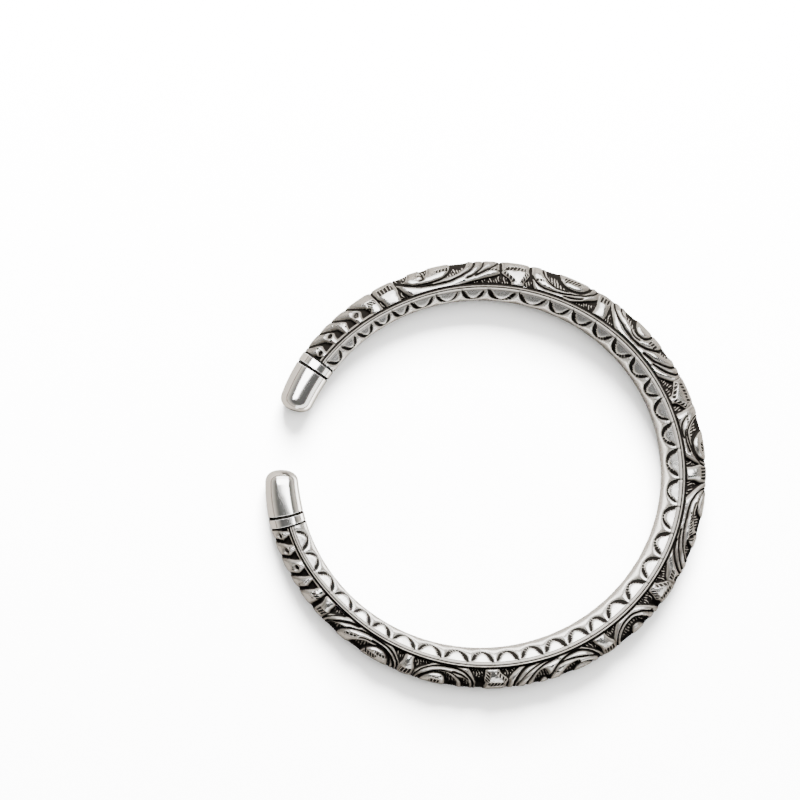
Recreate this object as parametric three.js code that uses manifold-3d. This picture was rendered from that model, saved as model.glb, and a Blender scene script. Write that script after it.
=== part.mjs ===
// An open ankle bangle: a bent, hollow silver tube whose outer face is chased with scrolls and leaves,
// with a raised rail along each edge of its smooth inner face. A plain neck at each end of the tube
// carries a collar and a domed cap.
// Millimetres, +Z up. The origin is under the middle of the whole bangle, on the surface that it lies
// on. +X points from the gap between the caps to the back of the ring.
import * as THREE from "three";
import { mergeVertices } from "three/addons/utils/BufferGeometryUtils.js";
import Module from "manifold-3d";

// Ring: the tube's mid-line is an ellipse, and an angle round it is 0 at the back and 180 in the gap.
const RING_HALF_LENGTH = 38.3;
const RING_HALF_WIDTH = 36.4;
const RING_SHIFT = -1.05; // along X, as the back of the ring is stouter than its caps
const TIP_ANGLE = 171.25; // where a cap ends
const TUBE_RADIUS = 3.75; // at the sides of the ring
const TUBE_TAPER = 0.0126; // growth of that radius for each millimetre towards the back

// Section of the tube: its angle is 0 on the outer side, 90 on top and 180 on the inner side.
const CHASED_TO = 97; // the chased face ends here, above and below
const RAIL_FROM = 99;
const RAIL_TO = 105.5;
const RAIL_RISE = 0.06; // flat top of a rail over the tube's own top
const SMOOTH_FROM = 109;
const SMOOTH_FULLNESS = 2.6; // exponent of the inner face's outline, where 2 is round
const WALL = 1.3; // from the chased face's crowns to the bore
// Towards the collars the chased face grows narrower, by these section angles at each edge.
const NARROWING = { left: 8, right: 15, from: 122 };

// Chased relief, as heights below the crowns
const RELIEF_DEPTH = 0.55;
const EDGE_GROOVE = 0.3;
const ARC_PER_DEGREE = 0.7; // length of the outer face for each degree of the ring

// Ends
const JOINT_GAP = 0.3;
const COLLAR_WIDTH = 1.7;
const COLLAR_RADIUS = 3.34;
const COLLAR_CHAMFER = 0.15;
const CAP_LENGTH = 8.3;
const CAP_RADIUS = 3.28; // at its open end
const CAP_TIP_RADIUS = 3.08; // where its dome starts
const CAP_WALL = 0.65;
const DOME_HEIGHT = 2.5;
const NECK_RADIUS = 2.35;
const NECK_BORE = 1.6;
const NECK_IN_CAP = 3.4;
const SOCKET_RADIUS = 2.5; // bore of the collar and of the cap's open end

// Fineness of the solids
const CHASED_STEPS = 14;
const SMOOTH_STEPS = 8;
const STATION_SPACING = 1.2;
const STATIONS_PER_LOBE = 4;
const BORE_SIDES = 10;
const BORE_STATIONS = 44;
const TURNED_SIDES = 24;
const DOME_STEPS = 5;

// The leaves stand across the chased face, each at its own angle round the ring. A long scroll follows
// each trumpet leaf and a round one each heart leaf.
const LEAVES = [
  { form: "trumpet", at: 128.1 },
  { form: "heart", at: 92.2 },
  { form: "trumpet", at: 67 },
  { form: "heart", at: 33.9 },
  { form: "trumpet", at: 11.3 },
  { form: "heart", at: -23.5 },
  { form: "trumpet", at: -45.4 },
  { form: "heart", at: -78 },
  { form: "trumpet", at: -101.8 },
  { form: "heart", at: -129.7 },
];
// A scroll between two leaves is a raised band round an oval petal. Middles and half lengths are shares
// of the way from one leaf to the next, and reaches are shares of the way up to the edge groove.
const SCROLLS = {
  trumpet: {
    petal: { middle: 0.32, half: 0.14, reach: 0.6 },
    band: { middle: 0.44, half: 0.34, reach: 0.9 },
  },
  heart: {
    petal: { middle: 0.62, half: 0.2, reach: 0.6 },
    band: { middle: 0.54, half: 0.38, reach: 0.9 },
  },
};
const BAND = { middle: 0.84, half: 0.2 }; // as shares of the band's own oval
const TRUMPET = { waist: 1.0, flare: 1.7, waistAt: 0.62 };
const HEART = { half: 2.4, middle: 0.42, reach: 0.52 };

// Overlapping lobes fill the face between the last leaf and the collar, five at each end. Their middles
// lean towards the collar.
const LOBE_ROWS = [
  { from: 154.6, to: 131.4, lobes: 5 },
  { from: -132, to: -154.6, lobes: 5 },
];
const LOBE_LEAN = 1.6;

const wasm = await Module();
wasm.setup();

const radians = THREE.MathUtils.degToRad;

// ---- the ring's mid-line

function tubeRadius(angle) {
  return TUBE_RADIUS + TUBE_TAPER * RING_HALF_LENGTH * Math.cos(radians(angle));
}

// A point of the section at an angle of the ring: `out` is measured from the mid-line away from the
// ring's middle, and `up` from the mid-line upwards. The rails' undersides all lie at Z = 0.
function place(angle, out, up) {
  const a = radians(angle);
  const across = new THREE.Vector2(
    RING_HALF_WIDTH * Math.cos(a),
    RING_HALF_LENGTH * Math.sin(a),
  ).normalize();
  return new THREE.Vector3(
    RING_HALF_LENGTH * Math.cos(a) + across.x * out,
    RING_HALF_WIDTH * Math.sin(a) + across.y * out,
    tubeRadius(angle) + RAIL_RISE + up,
  );
}

function degreesFor(length, angle) {
  const a = radians(angle);
  const speed = Math.hypot(
    RING_HALF_LENGTH * Math.sin(a),
    RING_HALF_WIDTH * Math.cos(a),
  );
  return THREE.MathUtils.radToDeg(length / speed);
}

const END_LENGTH = 2 * JOINT_GAP + COLLAR_WIDTH + CAP_LENGTH;
const BODY_END = TIP_ANGLE - degreesFor(END_LENGTH, TIP_ANGLE);

function narrowing(angle) {
  const share = THREE.MathUtils.smoothstep(Math.abs(angle), NARROWING.from, BODY_END);
  return share * (angle > 0 ? NARROWING.left : NARROWING.right);
}

// ---- the chased relief, as a height at an angle of the ring and a share v of the way from the middle
// of the outer face to the edge groove

// A raised form: 0 on its middle, and down to the ground at its edge, where q is 1.
function crown(q) {
  return -RELIEF_DEPTH * Math.min(1, q) ** 4;
}

function leafHeight(form, distance, v) {
  if (form === "trumpet") {
    const bend = Math.min(1, Math.abs(v - TRUMPET.waistAt) / (1 - TRUMPET.waistAt));
    const half = TRUMPET.waist + (TRUMPET.flare - TRUMPET.waist) * bend ** 2;
    return crown(Math.abs(distance) / half);
  }
  return crown(Math.hypot(distance / HEART.half, (v - HEART.middle) / HEART.reach));
}

// `along` is the share of the way from the leaf before the scroll to the leaf after it.
function scrollHeight({ petal, band }, along, v) {
  const oval = ({ middle, half, reach }) => Math.hypot((along - middle) / half, v / reach);
  return Math.max(crown(oval(petal)), crown(Math.abs(oval(band) - BAND.middle) / BAND.half));
}

function lobeHeight(row, angle, v) {
  const pitch = (row.from - row.to) / row.lobes;
  const lead = Math.sign(angle) * (LOBE_LEAN / ARC_PER_DEGREE) * (1 - v) ** 2;
  const turns = (row.from - angle + lead) / pitch;
  return crown(Math.abs(2 * (turns - Math.floor(turns)) - 1));
}

function relief(angle, v) {
  const edge = v > 0.99 ? -EDGE_GROOVE : 0;
  for (const row of LOBE_ROWS)
    if (angle <= row.from && angle >= row.to) return Math.min(edge, lobeHeight(row, angle, v));
  let height = -RELIEF_DEPTH;
  LEAVES.forEach((leaf, i) => {
    height = Math.max(height, leafHeight(leaf.form, (leaf.at - angle) * ARC_PER_DEGREE, v));
    const next = LEAVES[i + 1];
    if (!next) return;
    const along = (leaf.at - angle) / (leaf.at - next.at);
    height = Math.max(height, scrollHeight(SCROLLS[leaf.form], along, v));
  });
  return Math.min(edge, height);
}

// ---- the tube

const inner = (angle, section) => {
  const [c, s] = [Math.cos(radians(section)), Math.sin(radians(section))];
  const full = Math.abs(c) ** SMOOTH_FULLNESS + Math.abs(s) ** SMOOTH_FULLNESS;
  const r = tubeRadius(angle) * full ** (-1 / SMOOTH_FULLNESS);
  return [r * c, r * s];
};

// The outline of the section as [out, up] pairs, once round.
function outline(angle) {
  const radius = tubeRadius(angle);
  const less = narrowing(angle);
  const points = [];
  for (let i = 0; i <= CHASED_STEPS; i++) {
    const share = (2 * i) / CHASED_STEPS - 1;
    const section = (CHASED_TO - less) * share;
    const r = radius + relief(angle, Math.abs(share));
    points.push([r * Math.cos(radians(section)), r * Math.sin(radians(section))]);
  }
  const rail = [RAIL_FROM, RAIL_TO].map((section) => radius * Math.cos(radians(section - less)));
  rail.forEach((out) => points.push([out, radius + RAIL_RISE]));
  const smooth = SMOOTH_FROM - less;
  for (let i = 0; i <= SMOOTH_STEPS; i++)
    points.push(inner(angle, smooth + ((360 - 2 * smooth) * i) / SMOOTH_STEPS));
  rail.reverse().forEach((out) => points.push([out, -radius - RAIL_RISE]));
  return points;
}

// The same number of points on a circle, in the directions of the outline's own.
function circleLike(points, radius) {
  return points.map(([out, up]) => {
    const k = radius / Math.hypot(out, up);
    return [out * k, up * k];
  });
}

// The angles of the sections, from one end of the chased tube to the other.
function stations() {
  const angles = [];
  const divide = (from, to, steps) => {
    for (let i = 0; i < steps; i++) angles.push(from + ((to - from) * i) / steps);
  };
  const [first, last] = LOBE_ROWS;
  divide(BODY_END, first.to, first.lobes * STATIONS_PER_LOBE);
  const stops = [first.to, ...LEAVES.map((leaf) => leaf.at), last.from];
  for (let i = 0; i + 1 < stops.length; i++) {
    const length = (stops[i] - stops[i + 1]) * ARC_PER_DEGREE;
    divide(stops[i], stops[i + 1], Math.round(length / STATION_SPACING));
  }
  divide(last.from, -BODY_END, last.lobes * STATIONS_PER_LOBE);
  angles.push(-BODY_END);
  return angles;
}

// A closed body through rings of points, with a flat fan over the first and the last. Each cell between
// two rings is split along its shorter diagonal, which follows a raised form best.
function loft(rings) {
  const count = rings[0].length;
  const middle = (ring) =>
    ring.reduce((sum, p) => sum.add(p), new THREE.Vector3()).divideScalar(count);
  const points = [...rings.flat(), middle(rings[0]), middle(rings.at(-1))];
  const [start, end] = [points.length - 2, points.length - 1];
  const faces = [];
  for (let k = 0; k < count; k++) {
    const next = (k + 1) % count;
    faces.push(start, next, k);
    for (let i = 0; i + 1 < rings.length; i++) {
      const [a, b] = [i * count + k, i * count + next];
      const [c, d] = [b + count, a + count];
      if (points[a].distanceTo(points[c]) < points[b].distanceTo(points[d]))
        faces.push(a, b, c, a, c, d);
      else faces.push(a, b, d, b, c, d);
    }
    const last = (rings.length - 1) * count;
    faces.push(end, last + k, last + next);
  }
  const geometry = new THREE.BufferGeometry().setFromPoints(points);
  geometry.setIndex(faces);
  return geometry;
}

function solid(geometry) {
  const bare = new THREE.BufferGeometry();
  bare.setAttribute("position", geometry.getAttribute("position"));
  bare.setIndex(geometry.getIndex());
  const merged = mergeVertices(bare, 1e-4);
  return new wasm.Manifold(
    new wasm.Mesh({
      numProp: 3,
      vertProperties: merged.getAttribute("position").array,
      triVerts: new Uint32Array(merged.getIndex().array),
    }),
  );
}

function geometryOf(manifold) {
  const { vertProperties, triVerts } = manifold.getMesh();
  const geometry = new THREE.BufferGeometry();
  geometry.setAttribute("position", new THREE.BufferAttribute(vertProperties, 3));
  geometry.setIndex(new THREE.BufferAttribute(triVerts, 1));
  return geometry;
}

const ringOf = (angle, points) => points.map(([out, up]) => place(angle, out, up));

function chasedTube() {
  const neck = 2 * JOINT_GAP + COLLAR_WIDTH + NECK_IN_CAP;
  const neckEnd = BODY_END + degreesFor(neck, BODY_END);
  const angles = stations();
  const neckRing = (angle, like) => ringOf(angle, circleLike(outline(like), NECK_RADIUS));
  return loft([
    neckRing(neckEnd, BODY_END),
    neckRing(BODY_END, BODY_END),
    ...angles.map((angle) => ringOf(angle, outline(angle))),
    neckRing(-BODY_END, -BODY_END),
    neckRing(-neckEnd, -BODY_END),
  ]);
}

function bore() {
  const round = (angle, radius) => {
    const points = [];
    for (let k = 0; k < BORE_SIDES; k++) {
      const a = (2 * Math.PI * k) / BORE_SIDES;
      points.push([radius * Math.cos(a), radius * Math.sin(a)]);
    }
    return ringOf(angle, points);
  };
  const rings = [];
  const inside = BODY_END - degreesFor(WALL, BODY_END);
  rings.push(round(TIP_ANGLE, NECK_BORE), round(inside, NECK_BORE));
  for (let i = 0; i <= BORE_STATIONS; i++) {
    const angle = (inside - 1) * (1 - (2 * i) / BORE_STATIONS);
    rings.push(round(angle, tubeRadius(angle) - WALL));
  }
  rings.push(round(-inside, NECK_BORE), round(-TIP_ANGLE, NECK_BORE));
  return loft(rings);
}

// ---- collars and caps, turned about their own axis and laid along the mid-line

// The point y along a turned piece's axis goes to the mid-line, `start` beyond the tube's end.
function layAtEnd(geometry, end, start) {
  const position = geometry.getAttribute("position");
  const laid = [];
  for (let i = 0; i < position.count; i++) {
    const p = new THREE.Vector3().fromBufferAttribute(position, i);
    const angle = end * (BODY_END + degreesFor(start + p.y, BODY_END));
    laid.push(place(angle, p.x, end * p.z));
  }
  const bent = new THREE.BufferGeometry().setFromPoints(laid);
  bent.setIndex(geometry.getIndex());
  return geometryOf(solid(bent));
}

function collar(end) {
  const profile = [
    [SOCKET_RADIUS, 0],
    [COLLAR_RADIUS - COLLAR_CHAMFER, 0],
    [COLLAR_RADIUS, COLLAR_CHAMFER],
    [COLLAR_RADIUS, COLLAR_WIDTH - COLLAR_CHAMFER],
    [COLLAR_RADIUS - COLLAR_CHAMFER, COLLAR_WIDTH],
    [SOCKET_RADIUS, COLLAR_WIDTH],
    [SOCKET_RADIUS, 0],
  ].map(([r, y]) => new THREE.Vector2(r, y));
  return layAtEnd(new THREE.LatheGeometry(profile, TURNED_SIDES), end, JOINT_GAP);
}

// A dome over a tube's end, from its rim to the axis. Its outline is fuller than a quarter circle.
function dome(radius, from, height) {
  const points = [];
  for (let i = 0; i <= DOME_STEPS; i++) {
    const a = (Math.PI / 2) * (i / DOME_STEPS);
    const [c, s] = [Math.cos(a) ** 0.85, Math.sin(a) ** 0.85];
    points.push([i === DOME_STEPS ? 0 : radius * c, from + height * s]);
  }
  return points;
}

function cap(end) {
  const shoulder = CAP_LENGTH - DOME_HEIGHT;
  const outside = [[CAP_RADIUS, 0], ...dome(CAP_TIP_RADIUS, shoulder, DOME_HEIGHT)];
  const hollow = [
    [SOCKET_RADIUS, 0],
    [SOCKET_RADIUS, NECK_IN_CAP + JOINT_GAP],
    ...dome(CAP_TIP_RADIUS - CAP_WALL, shoulder, DOME_HEIGHT - CAP_WALL),
  ];
  const profile = [...hollow.reverse(), ...outside].map(([r, y]) => new THREE.Vector2(r, y));
  const start = 2 * JOINT_GAP + COLLAR_WIDTH;
  return layAtEnd(new THREE.LatheGeometry(profile, TURNED_SIDES), end, start);
}

// ---- the bangle

const chasedSilver = new THREE.MeshStandardMaterial({
  color: 0xa9a8a4,
  roughness: 0.38,
  metalness: 1,
});
const polishedSilver = new THREE.MeshStandardMaterial({
  color: 0xdedcd6,
  roughness: 0.14,
  metalness: 1,
});

function piece(name, geometry, material) {
  const mesh = new THREE.Mesh(geometry, material);
  mesh.name = name;
  mesh.geometry.computeVertexNormals();
  return mesh;
}

const bangle = new THREE.Group();
bangle.position.x = RING_SHIFT;
const tube = geometryOf(solid(chasedTube()).subtract(solid(bore())));
bangle.add(piece("chased_tube", tube, chasedSilver));
for (const [side, end] of [
  ["left", 1],
  ["right", -1],
]) {
  bangle.add(piece(`collar_${side}`, collar(end), polishedSilver));
  bangle.add(piece(`cap_${side}`, cap(end), polishedSilver));
}

export default bangle;
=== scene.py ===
import math
from typing import NamedTuple

import bpy
import numpy as np
from bpy.props import FloatProperty, FloatVectorProperty, PointerProperty
from mathutils import Matrix, Vector


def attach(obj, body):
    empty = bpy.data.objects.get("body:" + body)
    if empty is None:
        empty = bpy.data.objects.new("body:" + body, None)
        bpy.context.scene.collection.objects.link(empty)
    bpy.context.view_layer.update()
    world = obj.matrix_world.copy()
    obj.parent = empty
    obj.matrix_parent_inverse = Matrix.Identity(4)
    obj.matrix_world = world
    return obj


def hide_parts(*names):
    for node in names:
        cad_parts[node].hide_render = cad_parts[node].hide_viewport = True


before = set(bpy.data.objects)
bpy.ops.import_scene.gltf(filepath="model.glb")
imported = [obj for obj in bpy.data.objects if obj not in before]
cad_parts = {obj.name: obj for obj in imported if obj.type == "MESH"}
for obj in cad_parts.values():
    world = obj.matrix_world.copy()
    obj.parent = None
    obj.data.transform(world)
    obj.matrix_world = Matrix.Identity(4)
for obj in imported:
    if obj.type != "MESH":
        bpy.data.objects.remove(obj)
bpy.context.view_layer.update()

bl_info = {
    "name": "Chased Ankle Bangle",
    "version": (1, 0, 0),
    "blender": (4, 5, 0),
    "location": "View3D > Sidebar > Bangle",
    "description": "Open silver ankle bangle with a chased outer face, rails, collars and caps",
    "category": "Add Mesh",
}

# The ring lies flat, with +X from its gap to its back. A place on it has an angle round the ring, which
# is 0 at the back and 180 in the gap, and a section angle round the tube, which is 0 on the outer side,
# 90 on top and 180 on the inner side. All angles here are in degrees.
MM = 0.001
BODY = "root"
SAME_PLACE = 1e-7  # metres between points that are merged


def number(name, value, description, **options):
    """A number that the user can change."""
    return FloatProperty(name=name, description=description, default=value, **options)


def size(name, millimetres, description):
    """A length, kept in metres."""
    return number(name, millimetres * MM, description, unit="LENGTH", precision=5)


def degrees(name, value, description):
    return number(name, value, description + ", in degrees")


def colour(name, rgb, description):
    return FloatVectorProperty(name=name, description=description, default=rgb, subtype="COLOR")


# ---- what the user can change


class RingSizes(bpy.types.PropertyGroup):
    """The bent tube"""

    half_length: size("Half length", 38.3, "Mid-line's half axis from the gap to the back")
    half_width: size("Half width", 36.4, "Mid-line's half axis across the ring")
    shift: size("Shift", -1.05, "Place of the mid-line's centre along X")
    tube_radius: size("Tube radius", 3.75, "Radius of the tube at the sides of the ring")
    taper: number("Taper", 0.0126, "Growth of the radius towards the back", precision=4)
    rail_rise: size("Rail rise", 0.06, "Height of the rails over the tube's top")
    tube_end: degrees("Tube end", 154.6, "Angle of the ring where the chased tube ends")
    narrow_left: degrees("Narrow left", 8, "How far the rails move outwards up to the left end")
    narrow_right: degrees("Narrow right", 15, "How far the rails move outwards up to the right end")
    narrow_from: degrees("Narrow from", 122, "Angle of the ring where the rails start to move")


class ChasingSizes(bpy.types.PropertyGroup):
    """The chased face"""

    edge: degrees("Edge", 97, "Section angle where the chased face ends")
    depth: size("Depth", 0.55, "Depth of the hollows below the crowns")
    spacing: size("Spacing", 0.1, "Distance between the points of the surface")
    wander: size("Wander", 0.16, "How far the hand-cut lines stray from the pattern")
    wall: size("Wall", 1.1, "Thickness of the chased shell")


class InnerFaceSizes(bpy.types.PropertyGroup):
    """The smooth inner face and its punched half-moons"""

    edge: degrees("Edge", 106.5, "Section angle where the inner face starts")
    fullness: number("Fullness", 2.6, "Exponent of the outline, 2 is round")
    horns: degrees("Horns", 115.5, "Section angle of the half-moons' horns")
    foot: degrees("Foot", 154, "Section angle of a half-moon's lowest point")
    moon_length: size("Half-moon length", 2.45, "From the horns to the foot of a half-moon")
    depth: size("Depth", 0.22, "Depth of the punched lines")
    spacing: size("Spacing", 0.14, "Distance between the points of the surface")
    wall: size("Wall", 0.9, "Thickness of the inner shell")


class EndSizes(bpy.types.PropertyGroup):
    """Collars and caps"""

    joint: size("Joint", 0.3, "Gap between two pieces")
    collar_width: size("Collar width", 1.7, "Length of a collar along the ring")
    collar_radius: size("Collar radius", 3.34, "Outer radius of a collar")
    cap_length: size("Cap length", 8.3, "Length of a cap along the ring")
    cap_radius: size("Cap radius", 3.28, "Outer radius of a cap at its open end")
    cap_tip_radius: size("Cap tip radius", 3.08, "Outer radius where the dome starts")
    dome: size("Dome", 2.5, "Height of the dome")
    socket: size("Socket", 2.5, "Bore of a collar and of a cap's open end")
    neck: size("Neck", 2.35, "Outer radius of the neck inside collar and cap")
    neck_bore: size("Neck bore", 1.6, "Bore of the neck")
    neck_in_cap: size("Neck in cap", 3.4, "Length of the neck inside the cap")
    washer: size("Washer", 3.16, "Outer radius of the dark washers in the joints")


class Finish(bpy.types.PropertyGroup):
    """Colours of the silver"""

    bright: colour("Bright", (0.90, 0.89, 0.87), "Polished silver of the caps and collars")
    smooth: colour("Smooth", (0.72, 0.71, 0.69), "Smooth silver of the inner face")
    crown: colour("Crown", (0.62, 0.61, 0.592), "Rubbed crowns of the chased silver")
    worn: colour("Worn", (0.15, 0.137, 0.12), "Silver under a thin brown tarnish")
    black: colour("Black", (0.0016, 0.0014, 0.0012), "Blackening left in the hollows")


class StageLook(bpy.types.PropertyGroup):
    """Floor, lights and camera"""

    floor: colour("Floor", (0.74, 0.74, 0.737), "Plain pale floor")
    # Painted shade: the floor as the silver mirrors it is darkened, standing in for the bangle's contact
    # shadow on it.
    painted_mirror_shade: colour("Sheen", (0.062, 0.055, 0.047), "The floor as the silver mirrors it")
    # Painted light: the open floor inside the ring as the silver mirrors it, brighter than the painted
    # shade round it.
    painted_mirror_light: colour("Lit", (0.38, 0.37, 0.352), "The open floor inside the ring as the silver mirrors it")
    haze: colour("Haze", (0.44, 0.41, 0.365), "Low part of the room round the bangle")
    shade: colour("Shade", (0.055, 0.055, 0.053), "High part of the room, beside the softbox")
    skirting: colour("Skirting", (0.07, 0.052, 0.036), "Foot of the room's walls")
    sky: number("Sky", 2.4, "Strength of the light from all round")
    lamp: number("Lamp", 290, "Watts of the lamp that casts the shadow")
    softbox: number("Softbox", 46, "Watts of the softbox overhead")
    window: number("Window", 13, "Watts of the window, seen only in the silver")
    reflector: number("Reflector", 7, "Watts of the reflector, seen only in the silver")
    lens: number("Lens", 144.1, "Focal length in millimetres")


# ---- modelling helpers


def values(group):
    """What the user has set in one of the groups, such as ring or ends."""
    return getattr(bpy.context.scene, "bangle_" + group)


def start_piece(name, add, **options):
    """Adds a primitive, with nothing else selected."""
    bpy.ops.object.select_all(action="DESELECT")
    add(**options)
    obj = bpy.context.object
    obj.name = obj.data.name = name
    return obj


def edit_all():
    """Opens the new piece in edit mode with all of it selected."""
    bpy.ops.object.mode_set(mode="EDIT")
    bpy.ops.mesh.select_mode(type="VERT")
    bpy.ops.mesh.select_all(action="SELECT")


def close_up():
    """Turns the faces outwards and leaves edit mode."""
    bpy.ops.mesh.select_all(action="SELECT")
    bpy.ops.mesh.normals_make_consistent(inside=False)
    bpy.ops.object.mode_set(mode="OBJECT")


def move_points(obj, points):
    obj.data.vertices.foreach_set("co", np.ascontiguousarray(points, np.float32).ravel())
    obj.data.update()


def read_points(obj):
    points = np.empty(len(obj.data.vertices) * 3, np.float32)
    obj.data.vertices.foreach_get("co", points)
    return points.reshape(-1, 3).T.astype(float)


def store(obj, name, values):
    """Keeps a number at each point of the mesh, for the materials."""
    layer = obj.data.attributes.new(name, "FLOAT", "POINT")
    layer.data.foreach_set("value", np.ascontiguousarray(values, np.float32).ravel())


def closed_tube(name, rows, ink):
    """A grid rolled up along its rows and closed at both ends. `rows` has a row of points for each step
    round the section, and the first row follows the last."""
    count, columns = rows.shape[:2]
    add = bpy.ops.mesh.primitive_grid_add
    obj = start_piece(name, add, x_subdivisions=columns - 1, y_subdivisions=count)
    move_points(obj, np.concatenate([rows, rows[:1]]).reshape(-1, 3))
    store(obj, "ink", np.concatenate([ink, ink[:1]]))
    edit_all()
    bpy.ops.mesh.remove_doubles(threshold=SAME_PLACE)
    bpy.ops.mesh.select_all(action="DESELECT")
    bpy.ops.mesh.select_mode(type="EDGE")
    bpy.ops.mesh.select_non_manifold(extend=False, use_wire=False, use_multi_face=False,
                                     use_non_contiguous=False, use_verts=False)
    bpy.ops.mesh.mark_sharp()
    bpy.ops.mesh.fill_holes(sides=0)
    close_up()
    bpy.ops.object.shade_smooth()
    return obj


def turned(name, profile, steps=72):
    """A closed outline of (radius, height) pairs, spun about the Z axis."""
    add = bpy.ops.mesh.primitive_circle_add
    obj = start_piece(name, add, vertices=len(profile), fill_type="NOTHING")
    move_points(obj, [(radius, 0, height) for radius, height in profile])
    edit_all()
    bpy.ops.mesh.spin(steps=steps, angle=2 * math.pi, center=(0, 0, 0), axis=(0, 0, 1))
    bpy.ops.mesh.select_all(action="SELECT")
    bpy.ops.mesh.remove_doubles(threshold=SAME_PLACE)
    bpy.ops.mesh.dissolve_degenerate(threshold=SAME_PLACE)
    bpy.ops.mesh.delete_loose(use_faces=False)
    close_up()
    bpy.ops.object.shade_smooth_by_angle(angle=math.radians(35))
    return obj


# ---- the ring's shape


def tube_radius(angle):
    ring = values("ring")
    return ring.tube_radius + ring.taper * ring.half_length * np.cos(np.radians(angle))


def place(angle, out, up):
    """Points of the section at an angle of the ring: `out` from the mid-line away from the ring's
    middle, and `up` from the mid-line upwards."""
    ring = values("ring")
    a = np.radians(angle)
    nx, ny = ring.half_width * np.cos(a), ring.half_length * np.sin(a)
    length = np.hypot(nx, ny)
    x = ring.shift + ring.half_length * np.cos(a) + out * nx / length
    y = ring.half_width * np.sin(a) + out * ny / length
    z = tube_radius(angle) + ring.rail_rise + up
    return np.stack(np.broadcast_arrays(x, y, z), -1)


def wrap(angle, section, radius):
    """Points at a section angle and a distance from the mid-line."""
    s = np.radians(section)
    return place(angle, radius * np.cos(s), radius * np.sin(s))


def speed(angle):
    """Length of the mid-line for each degree of the ring."""
    ring = values("ring")
    a = np.radians(angle)
    return np.radians(np.hypot(ring.half_length * np.sin(a), ring.half_width * np.cos(a)))


def narrowing(angle):
    """Degrees of the section by which the rails are nearer to the outer side, towards the ends."""
    ring = values("ring")
    share = rise(np.abs(angle), ring.narrow_from, ring.tube_end - ring.narrow_from)
    return share * np.where(angle > 0, ring.narrow_left, ring.narrow_right)


def face_edge(angle):
    """Section angle of the chased face's edge."""
    return values("chasing").edge - narrowing(angle)


def shell(name, angle, middle, reach, across, behind, radius, wall, relief):
    """A closed shell over the section angles within `reach` of `middle`. Its front has the relief and
    `across` points, and its plain back has `behind` points."""
    sections = middle + np.linspace(-1, 1, across)[:, None] * reach
    angles = np.broadcast_to(angle, sections.shape)
    height, ink = relief(angles, sections)
    front = wrap(angles, sections, radius(angles, sections) + height)
    sections = middle + np.linspace(1, -1, behind)[:, None] * reach
    back = wrap(angle, sections, radius(angle, sections) - wall)
    ink = np.concatenate([ink, np.ones(back.shape[:2])])
    return closed_tube(name, np.concatenate([front, back]), ink)


# ---- curves that are used all over


def ease(x):
    x = np.clip(x, 0, 1)
    return x * x * (3 - 2 * x)


def rise(x, start, over):
    """0 up to `start`, then smoothly to 1."""
    return ease((x - start) / over)


def fall(x, end, over):
    """Smoothly from 1 down to 0, which it reaches at `end`."""
    return ease((end - x) / over)


def comb(x):
    """0 to 1 to 0 over each whole number."""
    return 1 - np.abs(2 * (x - np.floor(x)) - 1)


def wave_noise(u, v, seed, reach=1.0):
    """Smooth, wandering values between about -1 and 1, made of a few crossing waves."""
    rng = np.random.default_rng(seed)
    total = np.zeros(np.broadcast(u, v).shape)
    for octave in range(3):
        for _ in range(3):
            turn, phase = rng.uniform(0, 2 * math.pi, 2)
            rate = 2 * math.pi / (reach * rng.uniform(0.7, 1.3) / 2**octave)
            total += np.sin((u * math.cos(turn) + v * math.sin(turn)) * rate + phase) / 2**octave
    return total / 3.5


# ---- the chased pattern
# A place on the unrolled face is an angle t of the ring and v, millimetres from the middle of the face
# towards its edge. The half below the middle mirrors the half above it. Angles fall from left to right.

FACE = 6.5  # v at the edge
ARC = 0.7  # millimetres of the face for each degree of the ring
HATCH = 0.55  # millimetres from one line of the hatching to the next
TICK = 0.64  # millimetres from one tick to the next

# How deep the cuts go, in millimetres.
GROOVE_DEPTH = 0.42
HOLLOW_DEPTH = 0.46
WEDGE_DEPTH = 0.5
SCRATCH_DEPTH = 0.16


class Leaf(NamedTuple):
    """A leaf that stands across the face. Its widths are in millimetres."""

    at: float
    half: float
    foot: float  # half width at the edge
    lean: float  # how far right its foot stands
    heart: bool = False


class Oval(NamedTuple):
    """A lopsided oval, mostly round the middle of the face, and the groove along it between two angles.
    A width of 0 leaves the groove out."""

    left: float
    widest: float
    right: float
    reach: float  # v at its widest
    width: float = 0.2
    first: float = 180.0
    last: float = -180.0
    bulge: float = 2.2
    middle: float = 0.0  # v of its middle


class Hollow(NamedTuple):
    """A sunk crescent inside one oval and outside another, before (1), after (-1) or round (0) it. The
    inner oval is a petal if it has a groove, and where it is only a speck the whole outer oval is sunk."""

    outer: Oval
    inner: Oval
    side: int
    ink: float = 1.0


class Ticks(NamedTuple):
    """A row of short parallel cuts between two places, and its cuts' length and lean."""

    first: float
    last: float
    v_first: float
    v_last: float
    length: float
    lean: float = 0.0
    pitch: float = TICK


class Scroll(NamedTuple):
    """What fills the face between two leaves. Its two sides have an angle at the middle of the face and
    one at the edge, and `apex` is where the right side leaves the next leaf."""

    left: tuple
    right: tuple
    apex: float
    hollows: list
    grooves: list
    ticks: list


LEAVES = [
    Leaf(128.3, 2.0, 1.6, 0.3),
    Leaf(92.6, 2.45, 1.2, 0.6, heart=True),
    Leaf(67.0, 1.25, 1.3, 0.0),
    Leaf(34.1, 2.7, 0.7, 0.1, heart=True),
    Leaf(11.3, 1.65, 1.3, -0.1),
    Leaf(-23.2, 2.05, 1.1, 0.85, heart=True),
    Leaf(-44.7, 1.45, 1.4, 1.0),
    Leaf(-77.2, 2.1, 1.4, 0.8, heart=True),
    Leaf(-101.9, 1.4, 0.95, 0.15),
    Leaf(-129.6, 1.15, 1.25, 0.35),
]

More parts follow.
